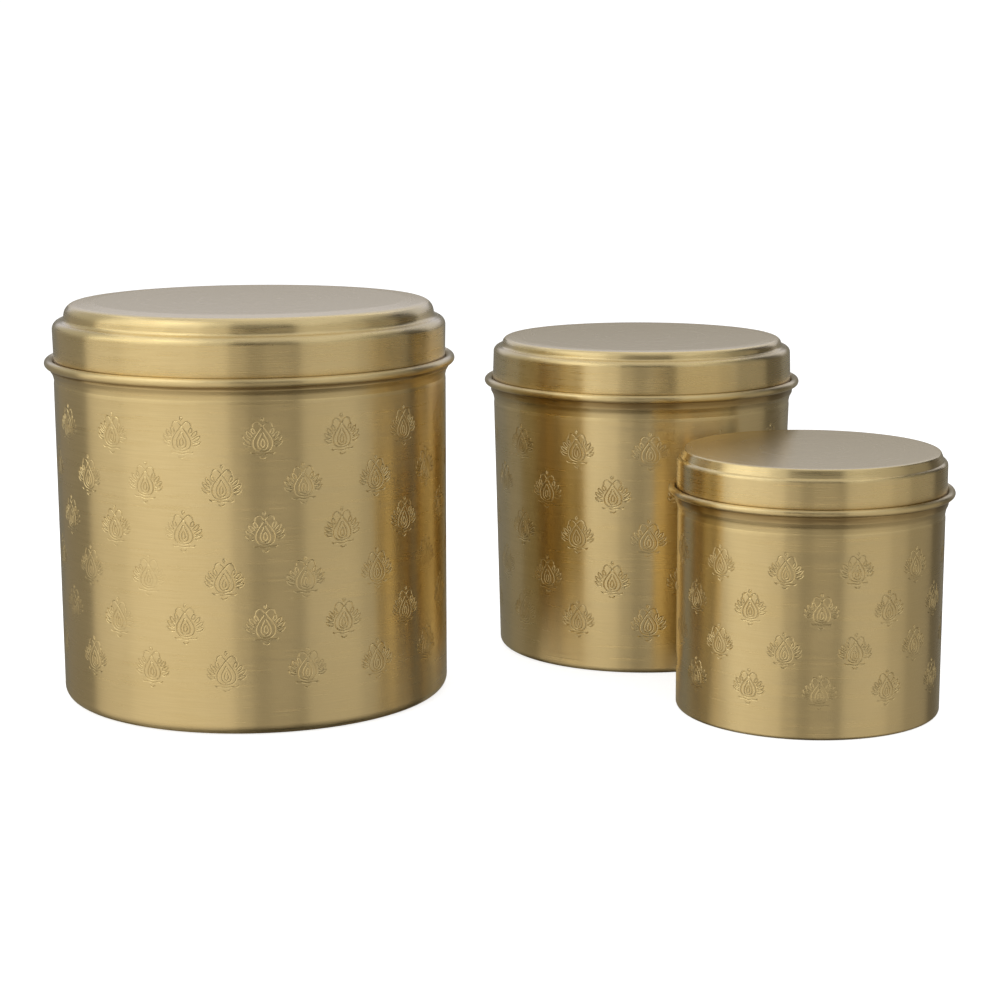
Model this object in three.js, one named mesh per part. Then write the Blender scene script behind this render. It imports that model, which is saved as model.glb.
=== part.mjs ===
// A set of three round spice canisters in spun sheet brass, in falling sizes
// that nest inside one another. Each has a drawn body with a flared neck and a
// rolled rim closed over a wire, and a stepped lid that drops into the neck.
// Millimetres, +Z up. The origin is the middle of the set's footprint, on the
// plane the canisters stand on. +X runs from the large canister to the small
// one, and +Y towards the medium one at the back.

import * as THREE from 'three';

const SHEET = 0.7; // thickness of the brass sheet
const CLEARANCE = 0.35; // air gap between neighbouring pieces
const BASE_RECESS = 1.0; // height of the pressed-up middle of each base
const BASE_RING_WIDTH = 9.0; // flat ring that each canister stands on
const BASE_SLOPE_WIDTH = 3.0; // slope between the ring and the recess
const CURL_END_ANGLE = -122; // where the rolled edge stops, in degrees
const SEAT_HEIGHT = 2.0; // lid edge above the crease at the neck's foot
const HEM_HEIGHT = 3.0; // folded safety edge inside each lid's mouth
const CORNER_STEPS = 3; // facets round a base corner
const CURL_STEPS = 6; // facets round the rolled rim
const EDGE_STEPS = 2; // facets round each edge of a lid
const WIRE_SIDES = 6; // sides of the rim wire's section

const CANISTERS = [
  {
    name: 'large',
    position: [0, 0],
    facets: 40,
    wallBottomRadius: 89.2,
    wallTopRadius: 89.6,
    cornerRadius: 5.0,
    creaseHeight: 147.9, // where the wall meets the flared neck
    rimRadius: 91.7, // centre line of the rolled rim
    rimHeight: 154.7,
    curlRadius: 2.0,
    skirtRadius: 89.7,
    shoulderWidth: 3.4,
    shoulderDrop: 4.0,
    ledgeHeight: 174.2,
    ledgeInnerRadius: 84.7,
    panelRadius: 83.5,
    panelEdgeWidth: 8.0,
    panelEdgeDrop: 4.0,
    topHeight: 181.9,
  },
  {
    name: 'medium',
    position: [184.6, 87.0],
    facets: 36,
    wallBottomRadius: 70.2,
    wallTopRadius: 73.4,
    cornerRadius: 3.0,
    creaseHeight: 124.8,
    rimRadius: 76.1,
    rimHeight: 133.4,
    curlRadius: 1.85,
    skirtRadius: 73.4,
    shoulderWidth: 2.8,
    shoulderDrop: 2.8,
    ledgeHeight: 150.4,
    ledgeInnerRadius: 69.5,
    panelRadius: 68.4,
    panelEdgeWidth: 3.6,
    panelEdgeDrop: 2.6,
    topHeight: 154.9,
  },
  {
    name: 'small',
    position: [254.0, -38.4],
    facets: 32,
    wallBottomRadius: 59.4,
    wallTopRadius: 59.6,
    cornerRadius: 1.7,
    creaseHeight: 91.5,
    rimRadius: 62.1,
    rimHeight: 99.9,
    curlRadius: 1.6,
    skirtRadius: 60.1,
    shoulderWidth: 1.4,
    shoulderDrop: 2.0,
    ledgeHeight: 114.1,
    ledgeInnerRadius: 58.5,
    panelRadius: 56.9,
    panelEdgeWidth: 1.4,
    panelEdgeDrop: 1.1,
    topHeight: 118.2,
  },
];

const FINISHES = {
  body: { color: 0xb8a066, roughness: 0.34, metalness: 1 },
  lid: { color: 0xbaa471, roughness: 0.32, metalness: 1 },
  wire: { color: 0xa38c58, roughness: 0.45, metalness: 1 },
};

// Points of an elliptical arc in the radius and height plane.
function arc(centreX, centreY, widthX, heightY, fromDegrees, toDegrees, steps) {
  const points = [];
  for (let i = 0; i <= steps; i += 1) {
    const angle = THREE.MathUtils.degToRad(
      fromDegrees + ((toDegrees - fromDegrees) * i) / steps,
    );
    points.push(new THREE.Vector2(
      centreX + widthX * Math.cos(angle),
      centreY + heightY * Math.sin(angle),
    ));
  }
  return points;
}

// The same line moved sideways by one sheet thickness, with mitred corners.
// A positive distance moves it to the left of its direction of travel.
function offsetLine(points, distance) {
  const normals = [];
  for (let i = 0; i < points.length - 1; i += 1) {
    const along = points[i + 1].clone().sub(points[i]).normalize();
    normals.push(new THREE.Vector2(-along.y, along.x));
  }
  return points.map((point, i) => {
    const before = normals[Math.max(i - 1, 0)];
    const after = normals[Math.min(i, normals.length - 1)];
    const mitre = before.clone().add(after).normalize();
    const reach = distance / mitre.dot(after);
    return point.clone().addScaledVector(mitre, reach);
  });
}

// A closed profile in the radius and height plane, turned round the Z axis.
function turned(profile, facets) {
  const geometry = new THREE.LatheGeometry(profile, facets);
  geometry.rotateX(Math.PI / 2);
  return geometry;
}

// Inside radius of the flared neck at a height.
function neckRadius(canister, height) {
  const footRadius = canister.wallTopRadius - SHEET;
  const topRadius = canister.rimRadius - canister.curlRadius;
  const rise = (height - canister.creaseHeight)
    / (canister.rimHeight - canister.creaseHeight);
  return footRadius + (topRadius - footRadius) * rise;
}

// Drawn body: recessed base, corner, wall, flared neck and outward curled rim.
function bodyGeometry(canister) {
  const cornerX = canister.wallBottomRadius - canister.cornerRadius;
  const ringInner = cornerX - BASE_RING_WIDTH;
  const outside = [
    new THREE.Vector2(0, BASE_RECESS),
    new THREE.Vector2(ringInner - BASE_SLOPE_WIDTH, BASE_RECESS),
    new THREE.Vector2(ringInner, 0),
    ...arc(
      cornerX,
      canister.cornerRadius,
      canister.cornerRadius,
      canister.cornerRadius,
      -90,
      0,
      CORNER_STEPS,
    ),
    new THREE.Vector2(canister.wallTopRadius, canister.creaseHeight),
    ...arc(
      canister.rimRadius,
      canister.rimHeight,
      canister.curlRadius - SHEET,
      canister.curlRadius - SHEET,
      180,
      CURL_END_ANGLE,
      CURL_STEPS,
    ),
  ];
  const inside = offsetLine(outside, SHEET);
  inside[0].x = 0;
  return turned([...outside, ...inside.reverse()], canister.facets);
}

// Ring of wire that the rim is rolled over.
function wireGeometry(canister) {
  const wireRadius = canister.curlRadius - SHEET - CLEARANCE;
  const section = arc(
    canister.rimRadius,
    canister.rimHeight,
    wireRadius,
    wireRadius,
    0,
    360,
    WIRE_SIDES,
  );
  section[section.length - 1].copy(section[0]);
  return turned(section, canister.facets);
}

// Pressed lid: raised panel, ledge, rounded shoulder, skirt, and a tapered
// mouth that seats inside the neck, with its edge folded inwards as a hem.
function lidGeometry(canister) {
  const mouthHeight = canister.creaseHeight + SEAT_HEIGHT;
  const mouthRadius = neckRadius(canister, mouthHeight) - CLEARANCE;
  const waistRadius = neckRadius(canister, canister.rimHeight) - CLEARANCE;
  const outside = [
    new THREE.Vector2(0, canister.topHeight),
    ...arc(
      canister.panelRadius - canister.panelEdgeWidth,
      canister.topHeight - canister.panelEdgeDrop,
      canister.panelEdgeWidth,
      canister.panelEdgeDrop,
      90,
      0,
      EDGE_STEPS,
    ),
    new THREE.Vector2(canister.ledgeInnerRadius, canister.ledgeHeight),
    ...arc(
      canister.skirtRadius - canister.shoulderWidth,
      canister.ledgeHeight - canister.shoulderDrop,
      canister.shoulderWidth,
      canister.shoulderDrop,
      90,
      0,
      EDGE_STEPS,
    ),
    new THREE.Vector2(waistRadius, canister.rimHeight),
    new THREE.Vector2(mouthRadius, mouthHeight),
  ];
  const inside = offsetLine(outside, -SHEET);
  inside[0].x = 0;
  inside.pop();
  const slope = (waistRadius - mouthRadius) / (canister.rimHeight - mouthHeight);
  const hemTopRadius = mouthRadius + slope * HEM_HEIGHT;
  const hem = [
    new THREE.Vector2(mouthRadius - 2 * SHEET, mouthHeight),
    new THREE.Vector2(hemTopRadius - 2 * SHEET, mouthHeight + HEM_HEIGHT),
    new THREE.Vector2(hemTopRadius - SHEET, mouthHeight + HEM_HEIGHT),
  ];
  const profile = [...outside, ...hem, ...inside.reverse()];
  return turned(profile.reverse(), canister.facets);
}

// Middle of the set's footprint, so the group can be centred on the origin.
function footprintCentre() {
  const box = new THREE.Box2();
  for (const canister of CANISTERS) {
    const centre = new THREE.Vector2(...canister.position);
    const reach = canister.rimRadius + canister.curlRadius;
    box.expandByPoint(centre.clone().addScalar(reach));
    box.expandByPoint(centre.clone().subScalar(reach));
  }
  return box.getCenter(new THREE.Vector2());
}

function namedMesh(name, geometry, finish) {
  const mesh = new THREE.Mesh(geometry, new THREE.MeshStandardMaterial(finish));
  mesh.name = name;
  return mesh;
}

const group = new THREE.Group();
const centre = footprintCentre();
for (const canister of CANISTERS) {
  const place = new THREE.Group();
  place.position.set(
    canister.position[0] - centre.x,
    canister.position[1] - centre.y,
    0,
  );
  place.add(
    namedMesh(`${canister.name}_body`, bodyGeometry(canister), FINISHES.body),
    namedMesh(`${canister.name}_rim_wire`, wireGeometry(canister), FINISHES.wire),
    namedMesh(`${canister.name}_lid`, lidGeometry(canister), FINISHES.lid),
  );
  group.add(place);
}

export default group;
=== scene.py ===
"""Set of three lidded spice canisters in brushed brass: the looks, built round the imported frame."""

import math

import bpy
import numpy as np
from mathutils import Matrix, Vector
from mathutils.geometry import delaunay_2d_cdt


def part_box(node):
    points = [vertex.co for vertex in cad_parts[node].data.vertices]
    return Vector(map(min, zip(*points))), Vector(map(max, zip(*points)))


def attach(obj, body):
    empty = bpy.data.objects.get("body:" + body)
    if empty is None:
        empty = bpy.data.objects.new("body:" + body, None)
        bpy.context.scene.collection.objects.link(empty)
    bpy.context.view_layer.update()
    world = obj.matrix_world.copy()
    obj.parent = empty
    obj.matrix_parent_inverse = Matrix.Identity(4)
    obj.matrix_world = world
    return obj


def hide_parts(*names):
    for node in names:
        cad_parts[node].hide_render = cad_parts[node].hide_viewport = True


MM = 0.001

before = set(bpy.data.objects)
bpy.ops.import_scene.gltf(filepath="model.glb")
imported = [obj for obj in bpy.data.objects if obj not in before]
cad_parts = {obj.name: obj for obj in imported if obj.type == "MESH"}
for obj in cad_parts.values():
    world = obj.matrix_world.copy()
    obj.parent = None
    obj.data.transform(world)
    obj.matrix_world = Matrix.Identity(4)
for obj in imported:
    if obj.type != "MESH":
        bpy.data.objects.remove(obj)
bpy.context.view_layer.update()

# ---------------------------------------------------------------- driving sizes, in millimetres

SHEET = 0.7  # thickness of the brass sheet
SEAT_CLEARANCE = 0.35  # air gap between a lid's mouth and the neck
BASE_RECESS = 1.0  # height of the pressed-up middle of each base
BASE_RING_WIDTH = 9.0
BASE_SLOPE_WIDTH = 3.0
SEAT_HEIGHT = 2.0  # lid edge above the crease at the neck's foot
HEM_HEIGHT = 3.0
TURN_STEPS = 240  # facets round each turned piece
CURL_END = -106.0  # where the rolled edge stops, in degrees
WIRE_GAP = 0.1
FLARE_FOOT = 1.0  # how far below the crease the neck's outside starts to flare
FLARE_TOP = 3.6  # how far above the crease the flare ends
FLARE_BEND = 0.45  # where the flare bends, as a part of its height
FLARE_BEND_OUT = 0.25  # how far out it is there, as a part of the whole flare
CREASE_GROOVE = 0.2  # depth of the rolled groove at the foot of the flare
GROOVE_HEIGHT = 1.6  # from the groove down to the plain wall
CURL_STEPS = 22
TUCK_STEPS = 16  # steps on the inside of the rolled edge, and round the wire
SEAM_DROP = 0.4  # the lid's painted shade line at the seam lies this far below the top of the rolled edge
SEAM_FADE = 0.7
FLAT_FILLET = 20  # soft edge of the lid's flat panel
HEM_FILLET = 0.34

# How the stamped pattern is drawn.
STROKE_STEP = 0.9  # sampling along the stamped lines
STROKE_HALF_WIDTH = 0.4
STAMP_DEPTH = 0.25
CELL_ROWS = 10
CURVE_STEPS = 12  # fine steps between two points of a stroke
PETAL_POINTS = 6
PETAL_HALF_WIDTH = 0.75
PETAL_HUB = (0, -2.1)
# Lean in degrees, start and tip from the hub, and lift at the tip, for the petals of one side.
PETALS = (
    (38, 5.5, 8.3, 0.5),
    (58, 5.4, 8.9, 0.9),
    (77, 5.3, 9.0, 1.4),
    (96, 5.1, 8.5, 1.8),
)
# How far hand stamping strays: its turn in degrees, its shift in millimetres, how uneven its depth is, and
# how hard each blow falls.
STRAY_TURN = 3
STRAY_SHIFT = 0.35
STRAY_FADE = 0.06
STRENGTHS = [1.0, 0.9, 0.75, 0.55]

# The motif keys: motifs counts them round the wall, motif_top is the height of the top row's middle,
# motif_first is the angle of the first one's middle, and motif_columns is how finely each repeat is divided
# round the wall.
CANISTERS = {
    "large": {
        "wall_bottom": 89.2,
        "wall_top": 89.6,
        "corner": 5.0,
        "crease": 147.9,
        "rim_radius": 91.7,
        "rim_height": 154.7,
        "curl": 2.0,
        "flare": 1.6,
        "skirt": 89.7,
        "shoulder": 4.6,
        "ledge_height": 173.7,
        "ledge_inner": 84.7,
        "panel": 83.5,
        "riser_foot": 2.4,
        "panel_edge": 5.4,
        "panel_slope": 7.0,
        "panel_fall": 0.8,
        "top": 181.9,
        "motifs": 16,
        "motif_rows": 6,
        "motif_pitch": 20.4,
        "motif_top": 131.0,
        "motif_first": math.radians(-81.0),
        "motif_columns": 16,
        "motif_size": 1.0,
    },
    "medium": {
        "wall_bottom": 70.2,
        "wall_top": 73.4,
        "corner": 3.0,
        "crease": 124.8,
        "rim_radius": 76.1,
        "rim_height": 133.4,
        "curl": 1.85,
        "flare": 1.4,
        "skirt": 73.4,
        "shoulder": 2.8,
        "ledge_height": 150.4,
        "ledge_inner": 69.5,
        "panel": 68.4,
        "riser_foot": 1.6,
        "panel_edge": 3.0,
        "panel_slope": 3.0,
        "panel_fall": 0.3,
        "top": 154.9,
        "motifs": 13,
        "motif_rows": 5,
        "motif_pitch": 20.75,
        "motif_top": 108.0,
        "motif_first": math.radians(-89.8),
        "motif_columns": 20,
        "motif_size": 1.0,
    },
    "small": {
        "wall_bottom": 59.4,
        "wall_top": 59.6,
        "corner": 1.7,
        "crease": 91.5,
        "rim_radius": 62.1,
        "rim_height": 99.9,
        "curl": 1.6,
        "flare": 1.2,
        "skirt": 60.1,
        "shoulder": 2.0,
        "ledge_height": 114.1,
        "ledge_inner": 58.5,
        "panel": 56.9,
        "riser_foot": 0.5,
        "panel_edge": 1.0,
        "panel_slope": 1.0,
        "panel_fall": 0.1,
        "top": 118.2,
        "motifs": 12,
        "motif_rows": 4,
        "motif_pitch": 17.6,
        "motif_top": 74.5,
        "motif_first": math.radians(-107.3),
        "motif_columns": 20,
        "motif_size": 0.88,
    },
}


# ---------------------------------------------------------------- turned shapes


def rounded(corners, step_degrees=9.0):
    """A line through (radius, height, fillet) corners, as rows of point, unit normal and length so far.

    Each corner gets its own fillet, and the normal lies to the left of the line's direction of travel."""
    points = np.array([c[:2] for c in corners], float)
    rows = []
    along = np.diff(points, axis=0)
    lengths = np.linalg.norm(along, axis=1)
    along /= lengths[:, None]

    def add(point, direction):
        rows.append((point[0], point[1], -direction[1], direction[0]))

    turns, reaches = np.zeros(len(points)), np.zeros(len(points))
    for i in range(1, len(points) - 1):
        before, after = along[i - 1], along[i]
        turns[i] = math.atan2(before[0] * after[1] - before[1] * after[0], float(before @ after))
        reaches[i] = abs(math.tan(turns[i] / 2)) * corners[i][2]
    crowding = np.maximum(1, (reaches[:-1] + reaches[1:]) / (0.98 * lengths))
    add(points[0], along[0])
    for i in range(1, len(points) - 1):
        before, after, turn = along[i - 1], along[i], turns[i]
        if abs(turn) < 1e-6:
            add(points[i], after)
            continue
        reach = reaches[i] / max(crowding[i - 1], crowding[i])
        radius = reach / max(abs(math.tan(turn / 2)), 1e-9)
        start = points[i] - before * reach
        side = math.copysign(1.0, turn)
        centre = start + side * radius * np.array([-before[1], before[0]])
        steps = max(2, math.ceil(abs(math.degrees(turn)) / step_degrees))
        for k in range(steps + 1):
            angle = turn * k / steps
            direction = np.array(
                [
                    before[0] * math.cos(angle) - before[1] * math.sin(angle),
                    before[0] * math.sin(angle) + before[1] * math.cos(angle),
                ]
            )
            point = centre + side * radius * np.array([direction[1], -direction[0]])
            add(point, direction)
    add(points[-1], along[-1])
    rows = np.array(rows)
    run = np.concatenate(
        [[0], np.cumsum(np.linalg.norm(np.diff(rows[:, :2], axis=0), axis=1))]
    )
    return np.column_stack([rows, run])


def arc(centre, radius, start, end, steps):
    """Rows like rounded()'s for an arc, in degrees.

    The normal lies to the left of its direction of travel."""
    rows = []
    sense = 1.0 if end > start else -1.0
    for k in range(steps + 1):
        angle = math.radians(start + (end - start) * k / steps)
        out = np.array([math.cos(angle), math.sin(angle)])
        point = np.array(centre) + radius * out
        rows.append((*point, *(-sense * out), radius * abs(angle - math.radians(start))))
    return np.array(rows)


def joined(*parts):
    """Several runs of rows end to end, with one running length."""
    rows = []
    run = 0.0
    for part in parts:
        part = part.copy()
        part[:, 4] += run
        run = part[-1, 4]
        rows.append(part)
    return np.vstack(rows)


def turned(name, axis, rows, painted_light_and_tarnish=None, closed=False, steps=TURN_STEPS, first=0.0, gap=None):
    """A smooth surface of revolution about a vertical axis, with exact normals and its brushing line.

    Painted shade and highlight come as one value for each row. No faces are made between row number gap and
    the next."""
    angles = first + np.arange(steps) * (2 * math.pi / steps)
    cos, sin = np.cos(angles), np.sin(angles)
    verts, normals, lengths, faces, index = [], [], [], [], []
    for r, z, nr, nz, run in rows:
        pole = r < 1e-6
        ring = []
        for k in range(1 if pole else steps):
            ring.append(len(verts))
            verts.append((r * cos[k] + axis[0], r * sin[k] + axis[1], z))
            normals.append((nr * cos[k], nr * sin[k], nz))
            lengths.append(run)
        index.append(ring)
    apart = np.linalg.norm(np.diff(np.array(rows)[:, :2], axis=0), axis=1) > 1e-6
    pairs = [pair for k, pair in enumerate(zip(index, index[1:])) if k != gap and apart[k]]
    if closed:
        pairs.append((index[-1], index[0]))
    for low, high in pairs:
        for k in range(steps):
            n = (k + 1) % steps
            corner = []
            for ring, a in ((low, k), (high, k), (high, n), (low, n)):
                v = ring[a] if len(ring) > 1 else ring[0]
                if v not in corner:
                    corner.append(v)
            if len(corner) > 2:
                faces.append(corner)
    if painted_light_and_tarnish is not None:
        painted_light_and_tarnish = np.repeat(painted_light_and_tarnish, [len(ring) for ring in index])
    return surface(name, verts, faces, normals, lengths, painted_light_and_tarnish)


def surface(name, verts, faces, normals, lengths, painted_light_and_tarnish=None):
    """A mesh object from millimetre points, with smooth custom normals.

    Its "along" attribute is the brushing line in metres. Its painted light attribute goes from -1, painted
    shade mixed with tarnish, to 1, a painted highlight."""
    mesh = bpy.data.meshes.new(name)
    mesh.from_pydata((np.array(verts) * MM).tolist(), [], faces)
    mesh.polygons.foreach_set("use_smooth", [True] * len(mesh.polygons))
    along = mesh.attributes.new("along", "FLOAT", "POINT")
    along.data.foreach_set("value", (np.array(lengths) * MM).astype(np.float32))
    painted_light_layer = mesh.attributes.new("painted_light_and_tarnish", "FLOAT", "POINT")
    if painted_light_and_tarnish is not None:
        painted_light_layer.data.foreach_set("value", np.array(painted_light_and_tarnish, np.float32))
    mesh.update()
    mesh.normals_split_custom_set_from_vertices(
        (np.array(normals) / np.linalg.norm(normals, axis=1)[:, None]).tolist()
    )
    piece = bpy.data.objects.new(name, mesh)
    bpy.context.scene.collection.objects.link(piece)
    return piece


# ---------------------------------------------------------------- profiles


def wall_radius(c, height):
    return c["wall_bottom"] + (c["wall_top"] - c["wall_bottom"]) * height / c["crease"]


def stamped_band(c):
    """Lowest and highest height of the wall's stamped part."""
    high = c["motif_top"] + c["motif_pitch"] / 2
    return high - c["motif_rows"] * c["motif_pitch"], high


def body_rows(c):
    """Outline of a drawn body, from the middle of its floor, up inside, over the rim and down underneath.

    With the rows come their painted shade and highlight values, as in surface(), and the number of the row
    at the top of the stamped band, which is left open."""
    low, high = stamped_band(c)
    ring = c["wall_bottom"] - c["corner"] - BASE_RING_WIDTH
    neck_foot = c["wall_top"] - SHEET
    lean = math.degrees(
        math.atan2(c["rim_radius"] - c["curl"] - neck_foot, c["rim_height"] - c["crease"])
    )
    groove = c["crease"] - FLARE_FOOT
    wall_end = groove - GROOVE_HEIGHT
    rim = (c["rim_radius"], c["rim_height"])
    over = arc(rim, c["curl"], 180 - lean, CURL_END, CURL_STEPS)
    under = arc(rim, c["curl"] - SHEET, CURL_END, 180 - lean, TUCK_STEPS)
    inside = rounded(
        [
            (0, BASE_RECESS + SHEET, 0),
            (ring - BASE_SLOPE_WIDTH, BASE_RECESS + SHEET, 2),
            (ring, SHEET, 2),
            (c["wall_bottom"] - SHEET, SHEET, c["corner"] - SHEET),
            (neck_foot, c["crease"], 5),
            (over[0][0], over[0][1], 0),
        ]
    )
    outside = rounded(
        [
            (under[-1][0], under[-1][1], 0),
            (c["wall_top"] + c["flare"], c["crease"] + FLARE_TOP, 1.0),
            (c["wall_top"] + FLARE_BEND_OUT * c["flare"], c["crease"] + FLARE_BEND * FLARE_TOP, 4.0),
            (c["wall_top"] - CREASE_GROOVE, groove, 0.8),
            (wall_radius(c, wall_end), wall_end, 1.2),
            (wall_radius(c, high), high, 0),
            (wall_radius(c, low), low, 0),
            (c["wall_bottom"], 0, c["corner"]),
            (ring, 0, 2),
            (ring - BASE_SLOPE_WIDTH, BASE_RECESS, 2),
            (0, BASE_RECESS, 0),
        ]
    )
    rows = joined(inside, over, under, outside)
    from_band = np.hypot(rows[:, 0] - wall_radius(c, high), rows[:, 1] - high)
    gap = int(np.flatnonzero(from_band < 1e-6)[-1])
    bead_bottom, flare_top = c["rim_height"] - c["curl"], c["crease"] + FLARE_TOP
    # Painted shade, with tarnish, on the underside of the rolled edge and at the top of the flare, and a
    # painted highlight along the crease groove.
    on_bead = np.interp(over[:, 1], [bead_bottom, bead_bottom + 0.6], [-1, 0])
    heights = [groove - 0.8, groove, groove + 0.5, flare_top, flare_top + 0.8]
    on_flare = np.interp(outside[:, 1], heights, [0, 0.8, 0, -0.25, -1])
    painted_light_and_tarnish = np.concatenate([np.zeros(len(inside)), on_bead, -np.ones(len(under)), on_flare])
    return rows, painted_light_and_tarnish, gap


def neck_inside(c, height):
    """Inside radius of the flared neck at a height."""
    foot = c["wall_top"] - SHEET
    top = c["rim_radius"] - c["curl"]
    rise = (height - c["crease"]) / (c["rim_height"] - c["crease"])
    return foot + (top - foot) * rise


def lid_rows(c):
    """Outline of a pressed lid, from the middle of its panel, over the skirt and hem and back underneath.

    The second value is the rows' painted shade values, as in surface()."""
    mouth_height = c["crease"] + SEAT_HEIGHT
    mouth = neck_inside(c, mouth_height) - SEAT_CLEARANCE
    waist = neck_inside(c, c["rim_height"]) - SEAT_CLEARANCE
    taper = (waist - mouth) / (c["rim_height"] - mouth_height)
    hem_top = mouth + taper * HEM_HEIGHT
    panel_flat = c["panel"] - c["panel_edge"] - c["panel_slope"]
    panel_end = c["top"] - c["panel_fall"]
    inner_edge = max(c["panel_edge"] - SHEET, 0.3)
    skirt_top = c["ledge_height"] - 0.3
    skirt_lean = (waist - c["skirt"]) / (skirt_top - c["rim_height"])
    seam = c["rim_height"] + c["curl"] - SEAM_DROP
    seam_top = seam + SEAM_FADE
    rows = rounded(
        [
            (0, c["top"], 0),
            (panel_flat, c["top"], FLAT_FILLET),
            (c["panel"], panel_end, c["panel_edge"]),
            (c["ledge_inner"], c["ledge_height"] + 0.3, c["riser_foot"]),
            (c["skirt"], skirt_top, c["shoulder"]),
            (c["skirt"] + skirt_lean * (skirt_top - seam_top), seam_top, 0),
            (c["skirt"] + skirt_lean * (skirt_top - seam), seam, 0),
            (waist, c["rim_height"], 1),
            (mouth, mouth_height, HEM_FILLET),
            (mouth - 2 * SHEET, mouth_height, HEM_FILLET),
            (hem_top - 2 * SHEET, mouth_height + HEM_HEIGHT, 0.25),
            (hem_top - SHEET, mouth_height + HEM_HEIGHT, 0.1),
            (waist - SHEET, c["rim_height"], 6),
            (c["skirt"] - SHEET, skirt_top - SHEET, c["shoulder"] - SHEET),
            (c["ledge_inner"] - SHEET, c["ledge_height"] + 0.3 - SHEET, c["riser_foot"] + SHEET),
            (c["panel"] - SHEET, panel_end - SHEET, inner_edge),
            (panel_flat, c["top"] - SHEET, FLAT_FILLET),
            (0, c["top"] - SHEET, 0),
        ]
    )
    # Painted shade, with tarnish, darkest at the seam against the rolled edge and faint on the lid below
    # the rim.
    painted_light_and_tarnish = np.interp(rows[:, 1], [c["rim_height"], seam, seam_top], [-0.15, -1, 0])
    return rows, painted_light_and_tarnish


# ---------------------------------------------------------------- the stamped pattern


def smooth_line(points, spacing):
    """A Catmull-Rom curve through the points, sampled at about an even spacing."""
    points = np.array(points, float)
    padded = np.vstack([2 * points[0] - points[1], points, 2 * points[-1] - points[-2]])
    fine = []
    for a, b, c, d in zip(padded, padded[1:], padded[2:], padded[3:]):
        for t in np.linspace(0, 1, CURVE_STEPS, endpoint=False):
            bend = (2 * a - 5 * b + 4 * c - d) * t**2 + (3 * b - a - 3 * c + d) * t**3
            fine.append(0.5 * (2 * b + (c - a) * t + bend))
    fine.append(points[-1])
    fine = np.array(fine)
    run = np.concatenate([[0], np.cumsum(np.linalg.norm(np.diff(fine, axis=0), axis=1))])
    wanted = np.linspace(0, run[-1], max(2, round(run[-1] / spacing)) + 1)
    return np.column_stack([np.interp(wanted, run, fine[:, k]) for k in (0, 1)])


def petal(hub, lean, start, tip, half_width, lift):
    """The outline of one pointed petal, leaning away from a hub and lifted at its tip, open at its foot."""
    outward = np.array([math.sin(lean), math.cos(lean)])
    upward = np.array([-outward[1], outward[0]])
    t = np.linspace(0, 1, PETAL_POINTS)
    width = half_width * np.sin(math.pi * (0.12 + 0.88 * t)) ** 0.8
    width[-1] = 0
    reach = np.outer(start + (tip - start) * t, outward)
    spine = np.array(hub) + reach + np.outer(lift * t**2, upward)
    return np.vstack([spine + np.outer(width, upward), (spine - np.outer(width, upward))[-2::-1]])


def lotus_strokes():
    """A lotus bud in outline: a flame in a drop, leaves over it, petals each side and a leafy foot."""
    flame = [(0, 0.2), (0.75, -1.4), (0.85, -2.7), (0, -3.5)]
    drop = [(0, 2.9), (1.0, 1.1), (2.0, -0.9), (2.1, -2.8), (1.3, -4.2), (0, -4.6)]
    bulb = [(0, 5.2), (1.3, 3.6), (2.9, 1.4), (4.0, -0.8), (4.0, -3.2), (2.6, -5.0), (0, -5.7)]
    bud = [(0, 9.2), (0.7, 8.5), (0, 7.6)]
    foot = [(0, -6.9), (1.7, -6.5), (3.2, -6.3), (4.3, -6.6), (5.2, -5.9)]
    tail = [(0, -8.8), (1.3, -7.9)]
    wing = [(0, 5.2), (1.5, 6.8), (2.9, 7.3), (4.0, 6.4), (4.2, 5.2)]
    halves = (flame, drop, bulb, bud, foot, tail)
    strokes = [[(-x, y) for x, y in half[:0:-1]] + half for half in halves]
    one_side = [wing]
    for lean, start, tip, lift in PETALS:
        line = petal(PETAL_HUB, math.radians(lean), start, tip, PETAL_HALF_WIDTH, lift)
        one_side.append(line.tolist())
    for stroke in one_side:
        strokes.append(stroke)
        strokes.append([(-x, y) for x, y in stroke])
    return strokes


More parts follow.
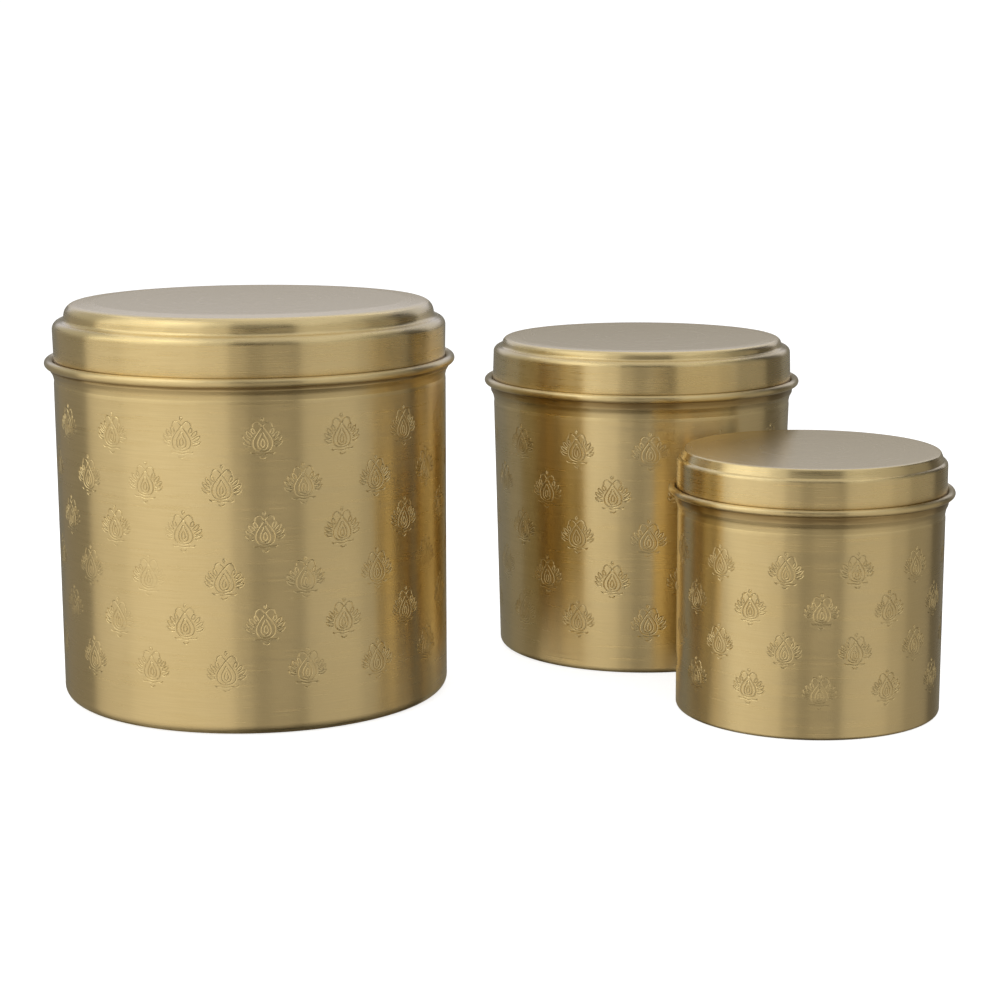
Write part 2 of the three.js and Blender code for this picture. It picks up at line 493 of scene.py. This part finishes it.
def stamp_cell(width, height, columns, size):
    """One repeat of the pattern, flat: points, triangles, stamped depth (0 to 1) and that depth's slope."""
    lines = [size * smooth_line(stroke, STROKE_STEP) for stroke in lotus_strokes()]
    points, edges = [], []
    for line in lines:
        along = np.gradient(line, axis=0)
        along /= np.linalg.norm(along, axis=1)[:, None]
        across = np.column_stack([-along[:, 1], along[:, 0]])
        sides = []
        for offset in (-1.0, -0.5, 0.5, 1.0):
            first = len(points)
            points.extend(line + offset * STROKE_HALF_WIDTH * across)
            edges.extend((k, k + 1) for k in range(first, len(points) - 1))
            sides.append((first, len(points) - 1))
        if np.linalg.norm(line[0] - line[-1]) > STROKE_HALF_WIDTH:
            for end, sign in ((0, -1), (1, 1)):
                edges.extend([(sides[0][end], len(points)), (len(points), sides[3][end])])
                points.append(line[-end] + sign * STROKE_HALF_WIDTH * along[-end])
    x = np.linspace(-width / 2, width / 2, columns + 1)
    y = np.linspace(-height / 2, height / 2, CELL_ROWS + 1)
    rim = [(v, -height / 2) for v in x[:-1]] + [(width / 2, v) for v in y[:-1]]
    rim += [(v, height / 2) for v in x[:0:-1]] + [(-width / 2, v) for v in y[:0:-1]]
    first = len(points)
    points.extend(rim)
    edges.extend((first + k, first + (k + 1) % len(rim)) for k in range(len(rim)))
    starts = np.vstack([line[:-1] for line in lines])
    steps = np.vstack([np.diff(line, axis=0) for line in lines])

    def nearest(p):
        t = np.clip(((p - starts) * steps).sum(1) / (steps**2).sum(1), 0, 1)
        away = p - starts - t[:, None] * steps
        return away[np.argmin((away**2).sum(1))]

    for gx in x[1:-1]:
        for gy in y[1:-1]:
            if np.linalg.norm(nearest(np.array((gx, gy)))) > 2.2 * STROKE_HALF_WIDTH:
                points.append((gx, gy))
    flat = delaunay_2d_cdt([Vector(p) for p in points], edges, [], 0, 0.02)
    places = np.array([tuple(p) for p in flat[0]])
    depth, slope = np.zeros(len(places)), np.zeros((len(places), 2))
    for k, place in enumerate(places):
        away = nearest(place)
        distance = np.linalg.norm(away)
        if 1e-6 < distance < 0.99 * STROKE_HALF_WIDTH:
            turn = math.pi * distance / STROKE_HALF_WIDTH
            depth[k] = 0.5 + 0.5 * math.cos(turn)
            slope[k] = -0.5 * math.pi / STROKE_HALF_WIDTH * math.sin(turn) * away / distance
    faces = [f for f in flat[2] if abs(flat_area(places[list(f)])) > 1e-5]
    return places, faces, depth, slope


def flat_area(corners):
    (ax, ay), (bx, by), (cx, cy) = corners
    return 0.5 * ((bx - ax) * (cy - ay) - (cx - ax) * (by - ay))


def stamped_wall(name, c, axis, top_run):
    """The outside of a body's wall, stamped all round in rows, each row half a repeat on."""
    count, rows, pitch = c["motifs"], c["motif_rows"], c["motif_pitch"]
    top = c["motif_top"] + pitch / 2
    radius = (c["wall_bottom"] + c["wall_top"]) / 2
    lean = (c["wall_top"] - c["wall_bottom"]) / c["crease"]
    cell = 2 * math.pi / count
    columns, size = c["motif_columns"], c["motif_size"]
    places, faces, depth, slope = stamp_cell(cell * radius, pitch, columns, size)
    half = np.array([cell * radius / 2, pitch / 2])
    inside = np.prod(1 - np.abs(places / half) ** 6, axis=1)[:, None]
    hand = np.random.default_rng(c["motifs"])
    verts, normals, lengths, painted_light_and_tarnish, triangles = [], [], [], [], []
    for row in range(rows):
        for column in range(count):
            swing = math.radians(hand.uniform(-STRAY_TURN, STRAY_TURN))
            shift = hand.uniform(-STRAY_SHIFT, STRAY_SHIFT, 2)
            strength = hand.choice(STRENGTHS)
            fade = hand.uniform(-STRAY_FADE, STRAY_FADE, 2)
            turn = swing * np.column_stack([-places[:, 1], places[:, 0]])
            moved = places + inside * (turn + shift)
            press = -STAMP_DEPTH * np.clip(strength * (1 + places @ fade), 0.1, 1.15)
            angle = c["motif_first"] + (column + row % 2 / 2) * cell + moved[:, 0] / radius
            z = top - (row + 0.5) * pitch + moved[:, 1]
            r = c["wall_bottom"] + lean * z + press * depth
            cos, sin = np.cos(angle), np.sin(angle)
            tilt = -press[:, None] * slope
            n_round, n_up = tilt[:, 0], tilt[:, 1] - lean
            first = sum(len(v) for v in verts)
            verts.append(np.column_stack([r * cos + axis[0], r * sin + axis[1], z]))
            normals.append(np.column_stack([cos - n_round * sin, sin + n_round * cos, n_up]))
            lengths.append(top_run + (top - z) * math.hypot(1, lean))
            # The stamped lines carry a painted highlight, strongest where they are pressed deepest.
            painted_light_and_tarnish.append(-press * depth / STAMP_DEPTH)
            triangles.extend(tuple(first + v for v in face) for face in faces)
    normals, lengths, painted_light_and_tarnish = np.vstack(normals), np.concatenate(lengths), np.concatenate(painted_light_and_tarnish)
    return surface(name, np.vstack(verts), triangles, normals, lengths, painted_light_and_tarnish)


# ---------------------------------------------------------------- brass


def linked(tree, kind, **inputs):
    """A new node with its inputs set, or linked where the value is another node's output."""
    node = tree.nodes.new(kind)
    for key, value in inputs.items():
        name = key.replace("_", " ")
        socket = node.inputs[int(key[1:])] if key[0] == "i" and key[1:].isdigit() else node.inputs[name]
        if isinstance(value, bpy.types.NodeSocket):
            tree.links.new(value, socket)
        else:
            socket.default_value = value
    return node


def maths(tree, operation, a, b):
    node = linked(tree, "ShaderNodeMath", i0=a, i1=b)
    node.operation = operation
    return node.outputs[0]


def ranged(tree, value, low, high, to_low, to_high):
    node = linked(tree, "ShaderNodeMapRange", Value=value)
    node.inputs["From Min"].default_value = low
    node.inputs["From Max"].default_value = high
    node.inputs["To Min"].default_value = to_low
    node.inputs["To Max"].default_value = to_high
    return node.outputs[0]


BRASS = (0.905, 0.73, 0.395)
SHADE = (0.86, 0.84, 0.78)  # the darker streaks, as a part of the brass tint
PAINTED_HIGHLIGHT_TINT = (1.06, 1.07, 1.05)  # painted highlight on the stamped lines and the crease groove, likewise
# Painted shade, with tarnish, in the seams and under the rolled edge.
SHADE_AND_TARNISH = (0.22, 0.12, 0.03)
BODY_ROUGH = 0.32
COLOUR_SPREAD = 0.14
ROUGH_SWING = 0.065
BUMP_STRENGTH = 0.6
BUMP_HEIGHT = 0.00003  # metres


def brass(name, centre, rough=BODY_ROUGH, anisotropy=1.0, brushing=1.0):
    """Satin brass brushed round a vertical axis, with streaks, soft stains, painted highlights on bright
    lines and painted shade with tarnish.
    """
    material = bpy.data.materials.new(name)
    material.use_nodes = True
    tree = material.node_tree
    shader = tree.nodes["Principled BSDF"]
    coordinates = tree.nodes.new("ShaderNodeTexCoord")
    where = linked(tree, "ShaderNodeSeparateXYZ", Vector=coordinates.outputs["Object"])
    x = maths(tree, "SUBTRACT", where.outputs[0], centre[0] * MM)
    y = maths(tree, "SUBTRACT", where.outputs[1], centre[1] * MM)
    along = tree.nodes.new("ShaderNodeAttribute")
    along.attribute_name = "along"
    painted_light_and_tarnish = tree.nodes.new("ShaderNodeAttribute")
    painted_light_and_tarnish.attribute_name = "painted_light_and_tarnish"

    def streaks(round_scale, across_scale, detail):
        """Noise stretched round the canister, with a scale round and one across the brushing, per metre."""
        vector = linked(
            tree,
            "ShaderNodeCombineXYZ",
            i0=maths(tree, "MULTIPLY", x, round_scale),
            i1=maths(tree, "MULTIPLY", y, round_scale),
            i2=maths(tree, "MULTIPLY", along.outputs["Fac"], across_scale),
        )
        noise = linked(tree, "ShaderNodeTexNoise", Vector=vector.outputs[0], Scale=1.0, Detail=detail)
        return noise.outputs["Fac"]

    fine = streaks(60.0, 2600.0, 2.0)
    broad = streaks(22.0, 620.0, 2.0)
    place = linked(tree, "ShaderNodeCombineXYZ", i0=x, i1=y, i2=where.outputs[2])
    clouds = linked(tree, "ShaderNodeTexNoise", Vector=place.outputs[0], Scale=17.0, Detail=4.0)
    stain = clouds.outputs["Fac"]
    grain = maths(
        tree,
        "ADD",
        maths(tree, "MULTIPLY", fine, 0.55),
        maths(tree, "MULTIPLY", broad, 0.45),
    )
    mottle = maths(
        tree,
        "ADD",
        maths(tree, "MULTIPLY", grain, 0.6),
        maths(tree, "MULTIPLY", stain, 0.4),
    )

    def mixed(factor, low, high):
        """One colour blended into another, each a socket or a plain colour."""
        mix = linked(tree, "ShaderNodeMix", Factor=factor)
        mix.data_type = "RGBA"
        for socket, value in ((mix.inputs[6], low), (mix.inputs[7], high)):
            if isinstance(value, bpy.types.NodeSocket):
                tree.links.new(value, socket)
            else:
                socket.default_value = (*value, 1)
        return mix.outputs[2]

    shade = tuple(tone * part for tone, part in zip(BRASS, SHADE))
    painted_highlight_colour = tuple(min(tone * part, 1) for tone, part in zip(BRASS, PAINTED_HIGHLIGHT_TINT))
    spread = COLOUR_SPREAD / brushing
    paint = mixed(ranged(tree, mottle, 0.5 - spread, 0.5 + spread, 0.0, 1.0), shade, BRASS)
    # Painted highlight where the painted light value is high.
    painted_highlight_mask = ranged(tree, painted_light_and_tarnish.outputs["Fac"], 0.25, 0.8, 0.0, 0.8)
    paint = mixed(painted_highlight_mask, paint, painted_highlight_colour)
    # Painted shade, with tarnish, where the painted light value is below zero.
    shade_and_tarnish_mask = maths(tree, "MULTIPLY", painted_light_and_tarnish.outputs["Fac"], mottle)
    paint = mixed(ranged(tree, shade_and_tarnish_mask, 0.0, -0.5, 0.0, 0.95), paint, SHADE_AND_TARNISH)
    tree.links.new(paint, shader.inputs["Base Color"])
    swing = ROUGH_SWING * brushing
    roughness = ranged(tree, grain, 0.32, 0.68, rough - swing, rough + swing)
    tree.links.new(roughness, shader.inputs["Roughness"])

    strength = BUMP_STRENGTH * brushing
    bump = linked(tree, "ShaderNodeBump", Strength=strength, Distance=BUMP_HEIGHT, Height=grain)
    tree.links.new(bump.outputs[0], shader.inputs["Normal"])
    tangent = tree.nodes.new("ShaderNodeTangent")
    tangent.direction_type = "RADIAL"
    tangent.axis = "Z"
    tree.links.new(tangent.outputs[0], shader.inputs["Tangent"])
    shader.inputs["Metallic"].default_value = 1.0
    shader.inputs["Anisotropic"].default_value = anisotropy
    shader.inputs["Anisotropic Rotation"].default_value = 0.25
    return material


# ---------------------------------------------------------------- pieces


def place(piece, node, body, slot, *materials):
    """Give a piece its materials, hide the CAD node it stands for, and hang it on the body that carries it.
    """
    for material in materials:
        piece.data.materials.append(material)
    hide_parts(node)
    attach(piece, body)


WIRE_ROUGH = 0.45
LID_ROUGH = 0.295
PANEL_ROUGH = 0.27
PANEL_BRUSHING = 0.08
PANEL_FOOT = 2  # the panel's finish starts this far above the ledge
PANEL_UPRIGHT = 0.75  # and covers the faces whose normals point up at least this much


def make_canister(name, c):
    low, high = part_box(f"{name}_body")
    axis = ((low.x + high.x) / 2 / MM, (low.y + high.y) / 2 / MM)
    body_brass = brass(f"{name}_body_brass", axis)
    rows, painted_light_and_tarnish, gap = body_rows(c)
    steps = c["motifs"] * c["motif_columns"]
    shell = turned(f"{name}_body_shell", axis, rows, painted_light_and_tarnish, steps=steps, first=c["motif_first"], gap=gap)
    place(shell, f"{name}_body", f"{name}_canister", "canister_brass", body_brass)
    wall = stamped_wall(f"{name}_stamped_wall", c, axis, rows[gap, 4])
    place(wall, f"{name}_body", f"{name}_canister", "canister_brass", body_brass)
    wire_radius = c["curl"] - SHEET - WIRE_GAP
    wire_rows = arc((c["rim_radius"], c["rim_height"]), wire_radius, 360, 0, TUCK_STEPS)[:-1]
    wire = turned(f"{name}_wire_ring", axis, wire_rows, closed=True)
    wire_brass = brass(f"{name}_wire_brass", axis, rough=WIRE_ROUGH)
    place(wire, f"{name}_rim_wire", f"{name}_canister", "wire_brass", wire_brass)
    lid = turned(f"{name}_lid_shell", axis, *lid_rows(c))
    lid_brass = brass(f"{name}_lid_brass", axis, rough=LID_ROUGH)
    panel_brass = brass(
        f"{name}_panel_brass", axis, rough=PANEL_ROUGH, anisotropy=0.0, brushing=PANEL_BRUSHING
    )
    place(lid, f"{name}_lid", f"{name}_lid", "lid_brass", lid_brass, panel_brass)
    for face in lid.data.polygons:
        above_ledge = face.center.z > (c["ledge_height"] + PANEL_FOOT) * MM
        if above_ledge and face.normal.z > PANEL_UPRIGHT:
            face.material_index = 1


for canister_name, canister in CANISTERS.items():
    make_canister(canister_name, canister)


# ---------------------------------------------------------------- studio

FLOOR_HALF = 12.0
FLOOR_GLOW = 0.80
FLOOR_GREY = 0.32


def make_floor():
    """A plain pale floor that glows, so shadows stay faint. The brass mirrors the panels, not the floor."""
    mesh = bpy.data.meshes.new("floor")
    h = FLOOR_HALF
    mesh.from_pydata([(-h, -h, 0), (h, -h, 0), (h, h, 0), (-h, h, 0)], [], [(0, 1, 2, 3)])
    floor = bpy.data.objects.new("floor", mesh)
    bpy.context.scene.collection.objects.link(floor)
    material = bpy.data.materials.new("floor_acrylic")
    material.use_nodes = True
    shader = material.node_tree.nodes["Principled BSDF"]
    shader.inputs["Base Color"].default_value = (FLOOR_GREY, FLOOR_GREY, FLOOR_GREY, 1)
    shader.inputs["Roughness"].default_value = 0.9
    shader.inputs["Emission Color"].default_value = (1, 1, 1, 1)
    shader.inputs["Emission Strength"].default_value = FLOOR_GLOW
    mesh.materials.append(material)
    floor.visible_glossy = False
    floor.visible_shadow = False


def panel_light(name, ends, low, high, radiance, colour):
    """An upright soft panel between two points on the plan, facing the middle of the set."""
    (ax, ay), (bx, by) = ends
    width = math.hypot(bx - ax, by - ay)
    data = bpy.data.lights.new(name, "AREA")
    data.shape = "RECTANGLE"
    data.size = width
    data.size_y = high - low
    data.energy = radiance * 4 * width * (high - low)
    data.color = colour
    light = bpy.data.objects.new(name, data)
    light.location = ((ax + bx) / 2, (ay + by) / 2, (low + high) / 2)
    inward = Vector((by - ay, ax - bx, 0))
    if inward.dot(light.location) > 0:
        inward.negate()
    light.rotation_euler = inward.to_track_quat("-Z", "Y").to_euler()
    light.visible_camera = False
    bpy.context.scene.collection.objects.link(light)


def make_ceiling(radiance):
    """One soft panel over the whole set."""
    data = bpy.data.lights.new("ceiling", "AREA")
    data.shape = "SQUARE"
    data.size = CEILING_SIZE
    data.energy = radiance * 4 * CEILING_SIZE**2
    light = bpy.data.objects.new("ceiling", data)
    light.location = (0, 0, TENT_TOP)
    light.visible_camera = False
    bpy.context.scene.collection.objects.link(light)


def make_world():
    """White to the camera and the floor, and nearly black in reflections, which show the panels instead."""
    world = bpy.data.worlds.new("studio")
    bpy.context.scene.world = world
    world.use_nodes = True
    tree = world.node_tree
    background = tree.nodes["Background"]
    path = tree.nodes.new("ShaderNodeLightPath")
    tint = linked(tree, "ShaderNodeMix", Factor=path.outputs["Is Glossy Ray"])
    tint.data_type = "RGBA"
    tint.inputs[6].default_value = (*WORLD_WHITE, 1)
    tint.inputs[7].default_value = (*WORLD_DARK, 1)
    tree.links.new(tint.outputs[2], background.inputs["Color"])


WORLD_WHITE = (1.05, 1.05, 1.05)
WORLD_DARK = (0.02, 0.018, 0.015)
WARM = (1.0, 0.93, 0.82)
NEUTRAL = (1.0, 1.0, 0.95)
COOL = (0.72, 0.77, 0.99)
TENT_FOOT, TENT_BREAK, TENT_TOP = -0.6, 0.30, 1.1
CEILING_SIZE = 1.7
CEILING_GLOW = 0.54

# Soft panels of the light tent: name, its two ends on the plan in metres, how bright it is, and its tint.
LOW_PANELS = (
    ("front_left_far", (-0.80, 0.06), (-0.55, -0.23), 0.49, WARM),
    ("front_left_mid", (-0.55, -0.23), (-0.18, -0.66), 0.58, WARM),
    ("front_left_near", (-0.18, -0.66), (-0.06, -0.80), 0.45, WARM),
    ("front_dim", (-0.06, -0.80), (0.08, -0.83), 0.33, WARM),
    ("front", (0.08, -0.83), (0.35, -0.89), 0.40, WARM),
    ("front_gap", (0.35, -0.89), (0.484, -0.914), 0.33, WARM),
    ("right_near", (0.484, -0.914), (0.70, -0.37), 0.45, WARM),
    ("right_mid", (0.70, -0.37), (0.78, -0.18), 0.36, WARM),
    ("right_far", (0.78, -0.18), (0.85, 0.25), 0.25, WARM),
    ("right_back", (0.85, 0.25), (0.85, 0.75), 0.10, WARM),
    ("back", (0.85, 0.75), (-0.80, 0.75), 0.14, NEUTRAL),
    ("left_back", (-0.80, 0.75), (-0.80, 0.06), 0.18, WARM),
)
HIGH_PANELS = (
    ("window", (-0.80, 0.06), (-0.43, -0.37), 1.07, NEUTRAL),
    ("window_edge", (-0.43, -0.37), (-0.31, -0.51), 0.68, NEUTRAL),
    ("window_fall", (-0.31, -0.51), (-0.18, -0.66), 0.36, NEUTRAL),
    ("right_high_near", (0.484, -0.914), (0.78, -0.18), 0.35, NEUTRAL),
    ("right_high_far", (0.78, -0.18), (0.85, 0.25), 0.18, NEUTRAL),
    ("back_high", (-0.62, 0.75), (0.80, 0.75), 0.68, COOL),
    ("left_back_high", (-0.62, 0.75), (-0.80, 0.06), 0.38, NEUTRAL),
)

make_floor()
make_world()
for panel_name, end_a, end_b, glow, shade in LOW_PANELS:
    panel_light(panel_name, (end_a, end_b), TENT_FOOT, TENT_BREAK, glow, shade)
for panel_name, end_a, end_b, glow, shade in HIGH_PANELS:
    panel_light(panel_name, (end_a, end_b), TENT_BREAK, TENT_TOP, glow, shade)
make_ceiling(CEILING_GLOW)


# ---------------------------------------------------------------- camera

CAMERA_PLACE = (0.0068, -1.0953, 0.2825)
CAMERA_PITCH = 10.361
CAMERA_YAW = 0.207
CAMERA_ROLL = 0.135
CAMERA_LENS = 83.66


def make_camera():
    data = bpy.data.cameras.new("camera")
    data.lens = CAMERA_LENS
    data.sensor_width = 36.0
    camera = bpy.data.objects.new("camera", data)
    camera.location = CAMERA_PLACE
    camera.rotation_euler = (
        math.radians(90 - CAMERA_PITCH),
        math.radians(CAMERA_ROLL),
        math.radians(CAMERA_YAW),
    )
    bpy.context.scene.collection.objects.link(camera)
    bpy.context.scene.camera = camera


make_camera()
bpy.context.scene.view_settings.view_transform = "Standard"
